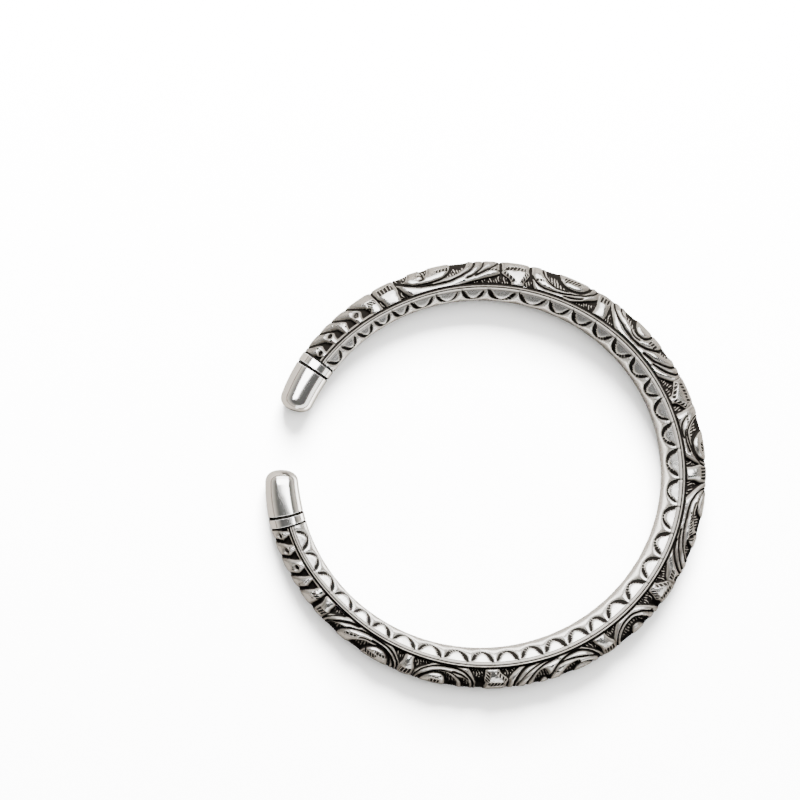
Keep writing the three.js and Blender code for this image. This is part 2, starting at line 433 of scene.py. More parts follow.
SCROLLS = [
    Scroll(
        left=(125.3, 122.6), right=(97.0, 107.8), apex=3.9,
        hollows=[
            Hollow(Oval(120, 111.5, 105.2, 4.3), Oval(125.4, 116.5, 109.5, 4.75, 0.25), -1),
            Hollow(Oval(124.6, 123.2, 121.4, 2.3), Oval(124.65, 124.6, 124.55, 0.1, 0), -1),
            Hollow(Oval(118.1, 117.2, 115.9, 2.6), Oval(118.15, 118.1, 118.05, 0.1, 0), -1),
        ],
        grooves=[
            Oval(124.5, 114, 103.3, 5.4, 0.22),
            Oval(122, 112, 101, 5.9, 0.16, first=105.8),
            Oval(120, 108, 96.4, 5.6, 0.2, first=103.5, bulge=1.4),
            Oval(119.9, 118.6, 117.5, 0.8, 0.14, first=118.8, middle=2.8),
        ],
        ticks=[Ticks(114.5, 110.6, 3.0, 2.6, 0.8, 0.3), Ticks(100.6, 91.4, 3.7, 3.3, 0.7, 0.6, 0.6)],
    ),
    Scroll(
        left=(88.2, 86.8), right=(68.9, 75.8), apex=2.8,
        hollows=[Hollow(Oval(84.6, 79.5, 70, 4.75), Oval(81, 76.5, 71.4, 4.3, 0.34), 1, 0.6)],
        grooves=[
            Oval(85.2, 79.5, 70, 4.8, 0.2, last=77.5),
            Oval(89, 83, 69.5, 5.75, 0.14),
            Oval(88, 78, 70, 5.95, 0.1, first=78.4, last=73),
        ],
        ticks=[Ticks(79.4, 74.4, 3.1, 2.9, 1.3, 0.7, 0.6), Ticks(86.9, 84.6, 4.6, 4.5, 0.5)],
    ),
    Scroll(
        left=(65.2, 60.9), right=(38.1, 42.4), apex=3.5,
        hollows=[
            Hollow(Oval(60.8, 55.5, 49, 4.15), Oval(57.3, 54.2, 50.8, 3.9, 0.25), 1),
            Hollow(Oval(60, 49, 43.4, 3.4), Oval(64.5, 54.6, 46.5, 5.5, 0.22), -1),
        ],
        grooves=[
            Oval(62.2, 60, 55, 2.9, 0.16, first=63, last=59.5),
            Oval(59, 55.2, 50, 4.8, 0.1, first=57.2, last=53.4),
            Oval(60, 53, 41, 6.0, 0.2, first=50),
            Oval(58, 49.5, 38.9, 5.9, 0.2, first=45.8),
        ],
        ticks=[Ticks(51.2, 48, 4.0, 3.6, 0.9, 0.25)],
    ),
    Scroll(
        left=(30.1, 29.6), right=(13.75, 16.9), apex=2.9,
        hollows=[Hollow(Oval(26.9, 22, 14, 4.85), Oval(23.2, 19.5, 14.2, 4.65, 0.3), 1, 0.8)],
        grooves=[
            Oval(27.3, 21.8, 12.9, 5.3, 0.14),
            Oval(28.5, 21.3, 13, 5.75, 0.14, first=24.2, last=17.8),
            Oval(29.5, 24, 15, 6.2, 0.1, first=28, last=22),
        ],
        ticks=[Ticks(19.9, 17.2, 3.1, 2.8, 0.9, 0.4), Ticks(28.5, 25.9, 4.4, 5.0, 0.45)],
    ),
    Scroll(
        left=(8.8, 4.0), right=(-20.2, -14.8), apex=4.2,
        hollows=[
            Hollow(Oval(6, -0.5, -5.3, 3.9), Oval(6.8, 2, -1.5, 3.5, 0.2), -1, 0.8),
            Hollow(Oval(-4, -8, -13.2, 4.1), Oval(-5.2, -7.4, -9.6, 3.6, 0.22), -1),
            Hollow(Oval(-17.3, -18.6, -19.9, 2.6), Oval(-17.3, -17.35, -17.4, 0.1, 0), -1),
        ],
        grooves=[
            Oval(6.5, 1, -6, 4.25, 0.12, first=3, last=-2),
            Oval(7.4, -0.8, -13.7, 5.5, 0.18, bulge=2.6),
            Oval(4, -5, -16, 6.0, 0.16, first=-5),
            Oval(0, -8.4, -17.2, 6.3, 0.2, first=-8.4),
        ],
        ticks=[
            Ticks(0.2, -6.4, 5.1, 4.3, 0.8, -0.6, 0.6),
            Ticks(-5.7, -7.9, 3.3, 3.5, 0.9, -0.5, 0.6),
            Ticks(-16.8, -19.5, 5.0, 4.3, 0.9, 0.3, 0.6),
        ],
    ),
    Scroll(
        left=(-27.6, -31.8), right=(-42.6, -39.2), apex=3.3,
        hollows=[Hollow(Oval(-31.6, -35.3, -41.1, 4.85), Oval(-33.3, -35.5, -37.8, 3.65, 0.2), 0, 0.85)],
        grooves=[Oval(-31.5, -35.3, -41.15, 4.9, 0.24), Oval(-29.2, -35.3, -42.5, 5.65, 0.18)],
        ticks=[Ticks(-28.8, -30.8, 3.5, 3.6, 0.6)],
    ),
    Scroll(
        left=(-46.9, -52.0), right=(-73.6, -70.4), apex=3.8,
        hollows=[
            Hollow(Oval(-49.5, -54.5, -59.2, 4.0), Oval(-50, -53.3, -56.2, 2.9, 0.2), -1),
            Hollow(Oval(-62.4, -63.7, -67.1, 4.9), Oval(-62.6, -64, -65.6, 2.4, 0.15), 0),
        ],
        grooves=[
            Oval(-47.7, -57, -64, 4.95, 0.18, last=-60.4),
            Oval(-48, -54, -62.6, 6.05, 0.26),
            Oval(-50, -58.5, -69, 6.3, 0.2, first=-59.5),
            Oval(-52, -60, -71.5, 6.5, 0.1, first=-62),
            Oval(-58, -66, -72.3, 6.5, 0.3, first=-66),
        ],
        ticks=[Ticks(-59.8, -62.2, 3.6, 3.4, 0.4)],
    ),
    Scroll(
        left=(-82.7, -85.2), right=(-99.5, -95.0), apex=2.9,
        hollows=[
            Hollow(Oval(-87.2, -92, -97, 4.85), Oval(-90.2, -93.3, -97.8, 4.4, 0.26), 1),
            Hollow(Oval(-83.8, -87, -91, 4.2), Oval(-85.6, -91.5, -98, 5.1, 0), 1, 0.7),
        ],
        grooves=[
            Oval(-85.8, -91.5, -98.5, 5.1, 0.12),
            Oval(-83, -90, -97, 5.25, 0.18, first=-85, last=-89.4),
            Oval(-83.2, -90.5, -99.3, 6.15, 0.16, bulge=2.6),
        ],
        ticks=[Ticks(-92.3, -95.2, 2.7, 2.7, 1.2, -0.2), Ticks(-92.6, -95, 3.5, 3.5, 0.3, 0, 2.0)],
    ),
    Scroll(
        left=(-103.3, -107.9), right=(-127.7, -122.8), apex=3.1,
        hollows=[
            Hollow(Oval(-108, -113.5, -118.9, 4.4), Oval(-106.2, -110.8, -115.1, 4.65, 0.3), -1),
            Hollow(Oval(-112, -121, -126.2, 3.9), Oval(-104, -113.5, -122.8, 6.1, 0), -1),
        ],
        grooves=[
            Oval(-105, -112, -121, 5.0, 0.12, last=-117),
            Oval(-104.8, -112, -120, 5.35, 0.14, last=-113.8),
            Oval(-104, -113.5, -122.8, 6.1, 0.2, bulge=2.6),
            Oval(-106, -118, -126.8, 6.3, 0.28, first=-119, bulge=1.8),
            Oval(-110, -120, -127.8, 6.5, 0.12, first=-124),
        ],
        ticks=[
            Ticks(-110.2, -114.2, 2.8, 2.8, 1.2, -0.5, 0.6),
            Ticks(-107.6, -111.6, 3.7, 3.8, 0.6, -0.2),
            Ticks(-118.2, -121, 4.6, 3.5, 0.6, -0.2),
        ],
    ),
]


class Lobes(NamedTuple):
    """A row of overlapping lobes up to a collar: the angles of the wedges between their feet, how far
    the slits above them lead towards the collar, in millimetres, and dots punched beside them."""

    feet: tuple
    lead: float
    dots: tuple  # angle, v and radius of each
    ticks: Ticks


LOBES = {
    1: Lobes(
        (154.9, 150.2, 145.6, 141.1, 136.2), 2.9,
        ((152.4, 3.7, 0.2), (152.9, 4.9, 0.34), (147.7, 3.8, 0.36), (148.6, 5.0, 0.2), (144.9, 2.6, 0.26),
         (142.7, 4.8, 0.2), (138.6, 4.0, 0.42), (139.4, 5.2, 0.2), (135.0, 5.0, 0.38)),
        Ticks(134.6, 131.9, 4.5, 4.6, 1.1, -0.7),
    ),
    -1: Lobes(
        (-155.2, -151.0, -146.3, -141.0, -136.6), 0.9,
        ((-133.8, 3.2, 0.24), (-138.6, 2.2, 0.3), (-137.4, 3.6, 0.26), (-143.2, 2.9, 0.26),
         (-143.4, 4.1, 0.34), (-148.6, 3.6, 0.42), (-149.2, 4.9, 0.2), (-152.9, 3.2, 0.32),
         (-153.4, 4.4, 0.2)),
        Ticks(-131.8, -135.2, 4.9, 4.9, 0.9, 0.5),
    ),
}


def oval_depth(oval, t, v):
    """Distance in millimetres from an oval's line, positive inside it."""
    half = np.where(t > oval.widest, oval.left - oval.widest, oval.widest - oval.right) * ARC
    x = np.abs(t - oval.widest) * ARC / half
    y = np.abs(v - oval.middle) / oval.reach
    p = oval.bulge
    q = (x**p + y**p + 1e-9) ** (1 / p)
    slope = np.hypot(x ** (p - 1) / half, y ** (p - 1) / oval.reach) * q ** (1 - p)
    return (1 - q) / slope


def leaf_depth(leaf, t, v):
    """Distance in millimetres from a leaf's rim, positive on the leaf."""
    share = rise(v, 3.2, 3)
    middle = leaf.at - leaf.lean / ARC * share
    half = leaf.half + (leaf.foot - leaf.half) * share
    if leaf.heart:
        half = np.minimum(half + 0.3 * rise(v, 2.5, 1.5) * (1 - share), 9.5 - v)
    else:
        half = half - 0.14 * np.exp(-(((v - 4.6) / 0.8) ** 2))
    return half - np.abs(t - middle) * ARC


def side_depth(ends, t, v, start, bend):
    """Distance in millimetres to the right of a scroll's side, which leaves the angle ends[0] at v
    `start` and bends to ends[1] at the edge."""
    rise_to_edge, turn = FACE - start, ends[1] - ends[0]
    share = np.clip((v - start) / rise_to_edge, 0, 1)
    slope = turn * ARC / rise_to_edge * bend * share ** (bend - 1)
    return (ends[0] + turn * share**bend - t) * ARC / np.hypot(1, slope)


def scroll_depth(scroll, t, v):
    """Distance in millimetres from a scroll's sides, positive between them."""
    left = side_depth(scroll.left, t, v, 0, 2.4)
    return np.minimum(left, -side_depth(scroll.right, t, v, scroll.apex, 1.4))


class Chasing:
    """A patch of the face under the punch and the graver. Heights are in millimetres and 0 on the
    crowns, and `ink` is 1 where the blackening stays."""

    def __init__(self, t, v):
        self.t, self.v = t, v
        self.height = np.zeros(t.shape)
        self.ink = np.zeros(t.shape)
        self.edge = np.full(t.shape, 9.0)  # distance to the nearest cut

    def near(self, first, last, margin=1.5):
        """The part of the patch between two angles."""
        return (self.t < first + margin) & (self.t > last - margin)

    def cut(self, where, height, ink):
        self.height[where] = np.minimum(self.height[where], height)
        self.ink[where] = np.maximum(self.ink[where], ink)

    def scratch(self, where, line):
        """A shallow cut that follows the form under it."""
        self.height[where] -= SCRATCH_DEPTH * line
        self.ink[where] = np.maximum(self.ink[where], line)

    def groove(self, distance, width, where):
        """A cut with round shoulders along the line where the distance is 0."""
        d = np.abs(distance)
        height = -GROOVE_DEPTH * np.exp(-((d / (1.2 * width)) ** 2))
        self.cut(where, height, 1 - rise(d - 0.75 * width, 0.04, 0.12))
        self.edge[where] = np.minimum(self.edge[where], d)

    def ground(self, depth):
        """Sinks what lies outside the raised forms, and leaves rough hatching at its foot."""
        full = values("chasing").depth / MM
        u, v = self.t * ARC, self.v
        hatch = rise(comb(u / HATCH + 0.35 * np.sin(v * 2.2)), 0.5, 0.3)
        hatch = hatch * ease((-depth - 0.22) / 0.2) * rise(v, 3.8, 0.8)
        hatch = hatch * ease(0.7 + 1.6 * wave_noise(u, v, 41, 1.6))
        self.height = -full * fall(depth, 0.1, 0.34) + 0.24 * hatch
        self.ink = fall(depth, 0.06, 0.14) * (1 - 0.85 * hatch)
        self.edge = np.clip(depth, 0, 9)

    def sink(self, hollow):
        """A crescent with flecks of hatching in it."""
        where = self.near(hollow.outer.left, hollow.outer.right, 0.5)
        t, v = self.t[where], self.v[where]
        outside = -oval_depth(hollow.inner, t, v)
        if hollow.side:
            beyond = (t - hollow.inner.widest) * hollow.side > 0
            outside = np.where(beyond, outside, -1)
        depth = np.minimum(oval_depth(hollow.outer, t, v), outside)
        fleck = rise(comb(t * ARC / HATCH + 0.25 * v), 0.4, 0.3)
        fleck = fleck * ease(np.maximum((v / hollow.outer.reach - 0.35) / 0.2, (0.9 - v) / 0.4))
        fleck = fleck * rise(depth, 0.16, 0.16) * ease(0.9 + 1.4 * wave_noise(t * ARC, v, 23, 1.3))
        ink = 1 - (0.8 + 0.15 * (1 - hollow.ink)) * fleck
        sunk = 0.18 * fleck - HOLLOW_DEPTH * ease(depth / 0.35)
        self.cut(where, sunk, rise(depth, -0.02, 0.12) * ink)
        self.edge[where] = np.minimum(self.edge[where], np.where(depth > 0, 0, -depth))

    def tick(self, row):
        where = self.near(row.first, row.last, 0.2)
        t, v = self.t[where], self.v[where]
        share = (row.first - t) / (row.first - row.last)
        up = row.v_first + (row.v_last - row.v_first) * share - v
        u = (row.first - t) * ARC - row.lean * up / row.length
        number = np.floor(u / row.pitch)
        reach = row.length * (1.25 + 0.25 * wave_noise(number * 1.7, number * 0, 29, 3.0))
        line = rise(comb(u / row.pitch), 0.1, 0.3) * ease(up / 0.1) * fall(up, reach, 0.15)
        self.scratch(where, line * ease(share / 0.04) * fall(share, 1, 0.04))

    def leaf(self, leaf):
        """Ticks down from a trumpet leaf's flare, or in from a heart leaf's rim."""
        half = leaf.half / ARC
        if not leaf.heart:
            side = 0.75 * half
            self.tick(Ticks(leaf.at + side, leaf.at - side, 3.5, 3.3, 1.5, 0.1, 0.6))
            return
        where = self.near(leaf.at + half, leaf.at - half)
        v = self.v[where]
        rim = leaf_depth(leaf, self.t[where], v)
        here = rise(rim, 0.1, 0.1) * fall(rim, 1.1, 0.3) * rise(v, 3.3, 0.4)
        self.scratch(where, here * rise(comb((v + 0.9 * rim) / TICK), 0.1, 0.3) * fall(v, 6, 0.3))
        side = 0.8 * half
        self.tick(Ticks(leaf.at + side, leaf.at - side, 3.4, 3.4, 1.0, 0.35))

    def scroll(self, scroll):
        for hollow in scroll.hollows:
            self.sink(hollow)
        petals = [hollow.inner for hollow in scroll.hollows if hollow.inner.width]
        for oval in (*petals, *scroll.grooves):
            first, last = min(oval.first, oval.left), max(oval.last, oval.right)
            where = self.near(first, last, 0.6)
            t = self.t[where]
            beyond = 1 - np.clip(1 - np.maximum(t - first, last - t) / 0.6, 0, 1)
            distance = np.abs(oval_depth(oval, t, self.v[where])) + 0.4 * beyond
            self.groove(distance, oval.width, where)
        for row in scroll.ticks:
            self.tick(row)

    def lobes(self, side):
        """Slits and black wedges between lobes whose middles lean towards the collar."""
        row = LOBES[side]
        bend, foot = 3.9, 5.9
        for at in row.feet:
            where = self.near(at, at, 7)
            t, v = self.t[where], self.v[where]
            lead = row.lead / ARC * np.clip(1 - v / bend, 0, 1) ** 1.15
            half = 0.38 + 0.5 * rise(v, bend - 0.6, 2.6)
            d = np.maximum(np.abs(t - at - side * lead) * ARC - half, v - foot)
            self.cut(where, -WEDGE_DEPTH * fall(d, 0.18, 0.3), 1 - rise(d, -0.02, 0.14))
            self.edge[where] = np.minimum(self.edge[where], np.clip(d, 0, 9))
            fold = (t - at - side * lead - side * 1.1) * ARC * side
            crease = 1 - ease(np.abs(fold - 0.25 - 0.1 * v) / 0.1)
            self.cut(where, -0.2 * crease, 0.7 * crease * rise(v, 1.6, 0.5) * fall(v, 3.8, 0.4))
        for at, middle, radius in row.dots:
            where = self.near(at, at, 2)
            r = np.hypot((self.t[where] - at) * ARC, self.v[where] - middle)
            if radius > 0.3:
                self.groove(r - radius, 0.1, where)
            self.cut(where, -0.25 * fall(r, 0.22, 0.12), fall(r, 0.26, 0.12))
        self.tick(row.ticks)

    def finish(self):
        """Rounds what stands between the cuts, leaves tarnish beside them, and flattens the relief along
        the middle of the face, where the bangle rubs most."""
        self.height -= 0.46 * np.clip(1 - self.edge / 1.15, 0, 1) ** 2
        left = 0.28  # share of the relief that is left in the middle
        self.height *= left + (1 - left) * rise(self.v, 0.8, 1.8)
        tarnish = 0.08 + 0.4 * np.clip(1 - self.edge / 0.62, 0, 1)
        return self.height, np.maximum(self.ink, tarnish)


def chased_face(angle, section):
    """Height in metres and blackening at angles of the ring and of the section."""
    u = -angle * ARC
    side = section / face_edge(angle) * FACE
    stray = values("chasing").wander / MM
    v = np.abs(side + stray * ease((FACE - np.abs(side)) / 1.5) * wave_noise(u, side, 3, 9.0))
    t = angle + stray / ARC * wave_noise(u, side, 7, 7.0)
    patch = Chasing(t, v)
    first, last = LEAVES[0], LEAVES[-1]
    forms = [leaf_depth(leaf, t, v) for leaf in LEAVES]
    forms += [scroll_depth(scroll, t, v) for scroll in SCROLLS]
    forms += [(t - first.at) * ARC - first.half - 0.75 + 0.1 * v, (last.at - t) * ARC - last.half - 0.9]
    patch.ground(np.maximum.reduce(forms))
    for side_sign, here in ((1, t > first.at), (-1, t < last.at)):
        if here.any():
            patch.lobes(side_sign)
    for scroll in SCROLLS:
        if patch.near(scroll.left[0], scroll.right[0]).any():
            patch.scroll(scroll)
    for leaf in LEAVES:
        if patch.near(leaf.at, leaf.at).any():
            patch.leaf(leaf)
    height, ink = patch.finish()
    rim = rise(np.abs(side), 6.22, 0.14)
    grain = 0.035 * (wave_noise(u, side, 11, 1.7) - 1) * ease(v / 2.5)
    return (np.minimum(height, -0.34 * rim) + grain) * MM, np.maximum(ink, rim)


def chased_sections():
    """Stretches of the chased face, divided in the dark wedge before each trumpet leaf."""
    end = values("ring").tube_end
    cuts = [leaf.at + (leaf.half + 0.35) / ARC for leaf in LEAVES if not leaf.heart]
    stops = [end, *cuts, -end]
    return list(zip(stops, stops[1:]))


def outer_radius(angle, section):
    return tube_radius(angle)


def make_chased_section(name, first, last):
    sizes = values("chasing")
    columns = round(abs(first - last) * ARC * MM / sizes.spacing) + 1
    across = round(2 * FACE * MM / sizes.spacing) + 1
    angle = np.linspace(first, last, columns)[None, :]
    return shell(name, angle, 0, face_edge(angle), across, 9, outer_radius, sizes.wall, chased_face)


# ---- the inner face


def inner_radius(angle, section):
    full = values("inner").fullness
    s = np.radians(section)
    round_off = np.abs(np.cos(s)) ** full + np.abs(np.sin(s)) ** full
    return tube_radius(angle) * round_off ** (-1 / full)


INNER_ARC = 0.57  # millimetres of the inner face for each degree of the ring
FIRST_HORN = 154.1  # angle of the first half-moon's left horn
MOON_RUNS = [  # half-moons, degrees from one to the next
    (5, 6.1), (3, 7.7), (2, 9.3), (3, 7.5), (2, 8.2), (1, 6.8), (2, 8.2), (1, 9.6),
    (6, 8.55), (1, 6.6), (5, 7.5), (3, 8.2), (2, 7.05), (2, 7.95), (2, 7.0),
]
HORNS = FIRST_HORN - np.cumsum([0, *(pitch for count, pitch in MOON_RUNS for _ in range(count))])


def half_moon(angle, down):
    """The punched line of a half-moon, 1 on it, then the distance inside its outline and the line's
    thickness, in millimetres. `down` goes from the horns to the foot. Each line is toothed, heavy on its
    flanks, and thin and broken to the right of its foot."""
    number = np.clip(np.searchsorted(-HORNS, -angle, side="right") - 1, 0, len(HORNS) - 2)
    stray = wave_noise(number * 3.7, number * 0, 5, 4.0)
    wide = (0.96 * (HORNS[number] - HORNS[number + 1]) - 0.1 + 0.2 * stray) / 2
    x = (angle - HORNS[number] + wide) * INNER_ARC  # positive left of the half-moon's middle
    half = (wide - 0.1) * INNER_ARC
    tall = values("inner").moon_length / MM * (1 + 0.06 * stray)
    bearing = np.arctan2(down / tall, x / half)  # 0 at the left horn, pi at the right one
    full = 1.8  # 2 would make it half an ellipse, and less is nearer to a triangle
    q = (np.abs(x / half) ** full + (down / tall) ** full) ** (1 / full)
    depth = (1 - q) * (half + tall) / 2 * (0.8 + 0.2 * np.abs(np.cos(bearing)))
    share = bearing / math.pi
    flank = np.abs(np.cos(bearing)) ** 0.8
    heavy = np.where(share < 0.5, 0.4, 0.3 + 0.12 * stray)
    thick = 0.37 + 0.1 * stray + heavy * flank * ease(share / 0.08) * fall(share, 1, 0.08)
    tooth = comb(share * 11 + 0.4 * stray)
    teeth = 0.26 * tooth * fall(share, 0.95, 0.1)
    line = rise(depth, -0.03, 0.08) * ease((thick + teeth - depth) / 0.1)
    gap = fall(tooth, 0.3, 0.2) * rise(share, 0.42, 0.1) * ease((0.75 - share + 0.2 * stray) / 0.1)
    return line * (1 - gap) * fall(share, 1, 0.03), depth, thick


def inner_relief(angle, section):
    """Height in metres and blackening: from the rail inwards, a low thread, a fine line, and the row of
    half-moons, whose horns touch the line."""
    sizes = values("inner")
    side = np.where(section < 180, section, 360 - section) + narrowing(angle)
    down = np.clip(side - sizes.horns, 0, None) / (sizes.foot - sizes.horns) * sizes.moon_length / MM
    line, depth, thick = half_moon(angle, down)
    pillow = 0.3 * rise(down, 0.25, 1.6) * rise(depth, thick, 0.4)
    height = -sizes.depth / MM * line - 0.1 + np.where(depth > 0, pillow, 0.1 * ease(-depth / 0.5))
    low = fall(side, sizes.horns + 0.6, 0.7)
    fine = np.exp(-(((side - sizes.horns + 1.2) / 1.0) ** 4)) + fall(side, sizes.edge + 1.9, 0.8)
    thread = np.clip(1 - ((side - sizes.horns + 4.9) / 3.2) ** 2, 0, 1)
    height = height - 0.1 * fine + low * (0.03 * thread + 0.06)
    grain = 0.006 * wave_noise(angle * 0.6, section * 0.07, 13, 2.5)
    beside_line = 1 - np.abs(depth - thick) / 0.5
    film = 0.08 + 0.24 * ease(beside_line) * (1 - low) + 0.5 * low * (1 - 0.4 * thread)
    return (height + grain) * MM, np.maximum.reduce([line * (1 - low), 0.95 * fine, film])


def make_inner_face():
    sizes, ring = values("inner"), values("ring")
    inside = ring.half_width - ring.tube_radius
    columns = round(math.radians(2 * ring.tube_end) * inside / sizes.spacing) + 1
    across = round(math.radians(360 - 2 * sizes.edge) * ring.tube_radius / sizes.spacing) + 1
    angle = np.linspace(ring.tube_end, -ring.tube_end, columns)[None, :]
    reach = 180 - sizes.edge + narrowing(angle)
    return shell("inner_face", angle, 180, reach, across, 7, inner_radius, sizes.wall, inner_relief)


# ---- the rails


RAIL_POINTS = 1400  # along a rail
RAIL_OUTLINE = [
    # section angle, height over the tube in millimetres, blackening
    (97.3, -0.5, 1.0),
    (98.2, -0.26, 1.0),
    (100.2, -0.16, 1.0),
    (101.1, -0.06, 0.95),
    (101.7, 0.03, 0.45),
    (102.6, 0.05, 0.3),
    (104.2, 0.05, 0.34),
    (105.0, 0.02, 0.6),
    (105.6, -0.06, 1.0),
    (106.7, -0.12, 1.0),
    (107.3, -0.25, 1.0),
    (107.3, -0.45, 1.0),
    (106.8, -0.8, 1.0),
    (98.0, -0.8, 1.0),
]


def make_rail(name, side):
    """A rail along the upper (1) or lower (-1) edge of the chased face: a thread between black grooves."""
    end = values("ring").tube_end
    angle = np.linspace(end, -end, RAIL_POINTS)[None, :]
    section, height, ink = np.array(RAIL_OUTLINE).T[:, :, None]
    stray = wave_noise(angle * ARC, section * 0, 17, 5.0)
    rough = 0.012 * stray * (height > -0.2) - 0.006
    points = wrap(angle, side * (section - narrowing(angle)), tube_radius(angle) + (height + rough) * MM)
    return closed_tube(name, points, np.broadcast_to(ink, points.shape[:2]))


# ---- collars, caps and necks


def lay_at_end(obj, end, start):
    """Bends a turned piece along the mid-line beyond the tube's end: 1 is the left end, -1 the right."""
    tube_end = values("ring").tube_end
    x, y, z = read_points(obj)
    angle = end * (tube_end + (start + z) / speed(tube_end))
    move_points(obj, place(angle, x, -end * y))


def dome(radius, start, height, steps=14):
    """From a rim at `start` to the axis, fuller than a quarter circle."""
    a = np.linspace(0, math.pi / 2, steps + 1)
    r = radius * np.cos(a) ** 0.85
    r[-1] = 0
    return list(zip(r, start + height * np.sin(a) ** 0.85))


def rounded(points, radius, steps=3):
    """Rounds the corners of a closed outline."""
    p = [Vector(q) for q in points]
    result = []
    for before, corner, after in zip([p[-1], *p], p, [*p[1:], p[0]]):
        a = corner + (before - corner).normalized() * radius
        b = corner + (after - corner).normalized() * radius
        for i in range(steps + 1):
            k = i / steps
            result.append(tuple((1 - k) ** 2 * a + 2 * k * (1 - k) * corner + k * k * b))
    return result


def blacken(obj, *heights):
    """Leaves black on a turned piece beside its joints, which are at these heights."""
    z = read_points(obj)[2]
    gap = np.min([np.abs(z - height) for height in heights], axis=0) / MM
    store(obj, "ink", 1 - ease((gap - 0.1) / 0.1))


def make_collar(name, end):
    s = values("ends")
    margin = 0.3 * MM  # the blackening beside the joints ends within it
    outline = [(s.socket, 0)]
    outline += [(s.collar_radius, z) for z in (0, margin, s.collar_width - margin, s.collar_width)]
    outline.append((s.socket, s.collar_width))
    collar = turned(name, rounded(outline, 0.1 * MM))
    blacken(collar, 0, s.collar_width)
    lay_at_end(collar, end, s.joint)
    return collar


def make_cap(name, end):
    s = values("ends")
    shoulder = s.cap_length - s.dome
    wall = 0.65 * MM
    chamfer, margin = 0.1 * MM, 0.22 * MM  # the blackening beside the joint ends within the margin
    mouth = [(s.socket, chamfer), (s.socket + chamfer, 0), (s.cap_radius - chamfer, 0),
             (s.cap_radius, chamfer), (s.cap_radius, margin)]
    taper, side = s.cap_tip_radius - s.cap_radius, shoulder - chamfer
    bulge = [(s.cap_radius + taper * k**1.6, chamfer + side * k) for k in (0.25, 0.5, 0.75)]
    outside = [*mouth, *bulge, *dome(s.cap_tip_radius, shoulder, s.dome)]
    hollow = dome(s.cap_tip_radius - wall, shoulder, s.dome - wall, 8)
    cap = turned(name, [*outside, *reversed(hollow)])
    blacken(cap, 0)
    lay_at_end(cap, end, 2 * s.joint + s.collar_width)
    return cap


def make_neck(name, end):
    s = values("ends")
    length = 2 * s.joint + s.collar_width + s.neck_in_cap
    clear = 0.03 * MM
    outline = [(s.neck_bore, 0)]
    for start in (0, s.joint + s.collar_width):
        low, high = start + clear, start + s.joint - clear
        outline += [(s.neck, low), (s.washer, low), (s.washer, high), (s.neck, high)]
    outline += [(s.neck, length), (s.neck_bore, length)]
    neck = turned(name, rounded(outline, 0.02 * MM, 1), 40)
    store(neck, "ink", np.ones(len(neck.data.vertices)))
    lay_at_end(neck, end, 0)
    return neck


# ---- finishes


def feed(tree, socket, value):
    """Links another node's output to an input, or gives the input a fixed value."""
    if isinstance(value, bpy.types.NodeSocket):
        tree.links.new(value, socket)
    else:
        socket.default_value = value


def node(tree, kind, **given):
    """Adds a node. Keywords set its own settings, or feed its inputs by name."""
    new = tree.nodes.new(kind)
    for key, value in given.items():
        if hasattr(new, key):
            setattr(new, key, value)
        else:
            feed(tree, new.inputs[key.replace("_", " ")], value)
    return new


def mix(tree, factor, a, b, kind="FLOAT"):
    """Mixes two numbers or, with kind RGBA, two colours."""
    new = node(tree, "ShaderNodeMix", data_type=kind)
    first = 6 if kind == "RGBA" else 2  # a Mix node has a pair of inputs for each kind
    for place, value in ((0, factor), (first, a), (first + 1, b)):
        feed(tree, new.inputs[place], value)
    return new.outputs[2 if kind == "RGBA" else 0]


def object_place(tree):
    return tree.nodes.new("ShaderNodeTexCoord").outputs["Object"]


def noise(tree, scale, detail, roughness):
    texture = node(tree, "ShaderNodeTexNoise", Vector=object_place(tree), Scale=scale, Detail=detail,
                   Roughness=roughness)
    return texture.outputs["Fac"]


def ramp(tree, value, low, high):
    """0 below `low`, 1 above `high`, smooth in between."""
    span = node(tree, "ShaderNodeMapRange", interpolation_type="SMOOTHSTEP", Value=value,
                From_Min=low, From_Max=high)
    return span.outputs["Result"]


def new_group(name, inputs, outputs):
    """A shader node group. An input has its default, which is None for a colour, and an output its kind."""
    tree = bpy.data.node_groups.new(name, "ShaderNodeTree")
    for socket, default in inputs.items():
        kind = "NodeSocketColor" if default is None else "NodeSocketFloat"
        item = tree.interface.new_socket(socket, in_out="INPUT", socket_type=kind)
        if default is not None:
            item.default_value = default
    for socket, kind in outputs.items():
        tree.interface.new_socket(socket, in_out="OUTPUT", socket_type="NodeSocket" + kind)
    return tree, tree.nodes.new("NodeGroupInput").outputs, tree.nodes.new("NodeGroupOutput").inputs


def patina_group():
    """Blackening and tarnish: the black lies where Ink is near 1, and a brown film where it is lower."""
    tree, given, out = new_group(
        "Patina",
        {"Ink": 0.0, "Bright": None, "Worn": None, "Black": None, "Gloss": 0.2, "Film": 0.5},
        {"Color": "Color", "Roughness": "Float", "Metallic": "Float"},
    )
    veil = ramp(tree, mix(tree, 0.3, given["Ink"], noise(tree, 420.0, 4.0, 0.55)), 0.14, 0.42)
    film = node(tree, "ShaderNodeMath", operation="MULTIPLY")
    feed(tree, film.inputs[0], veil)
    feed(tree, film.inputs[1], given["Film"])
    film = film.outputs[0]
    black = ramp(tree, mix(tree, 0.22, given["Ink"], noise(tree, 5200.0, 2.0, 0.6)), 0.3, 0.72)
    tarnished = mix(tree, film, given["Bright"], given["Worn"], "RGBA")
    shine = mix(tree, film, given["Gloss"], 0.42)
    feed(tree, out["Color"], mix(tree, black, tarnished, given["Black"], "RGBA"))
    feed(tree, out["Roughness"], mix(tree, black, shine, 0.62))
    feed(tree, out["Metallic"], mix(tree, black, 1.0, 0.0))
    return tree


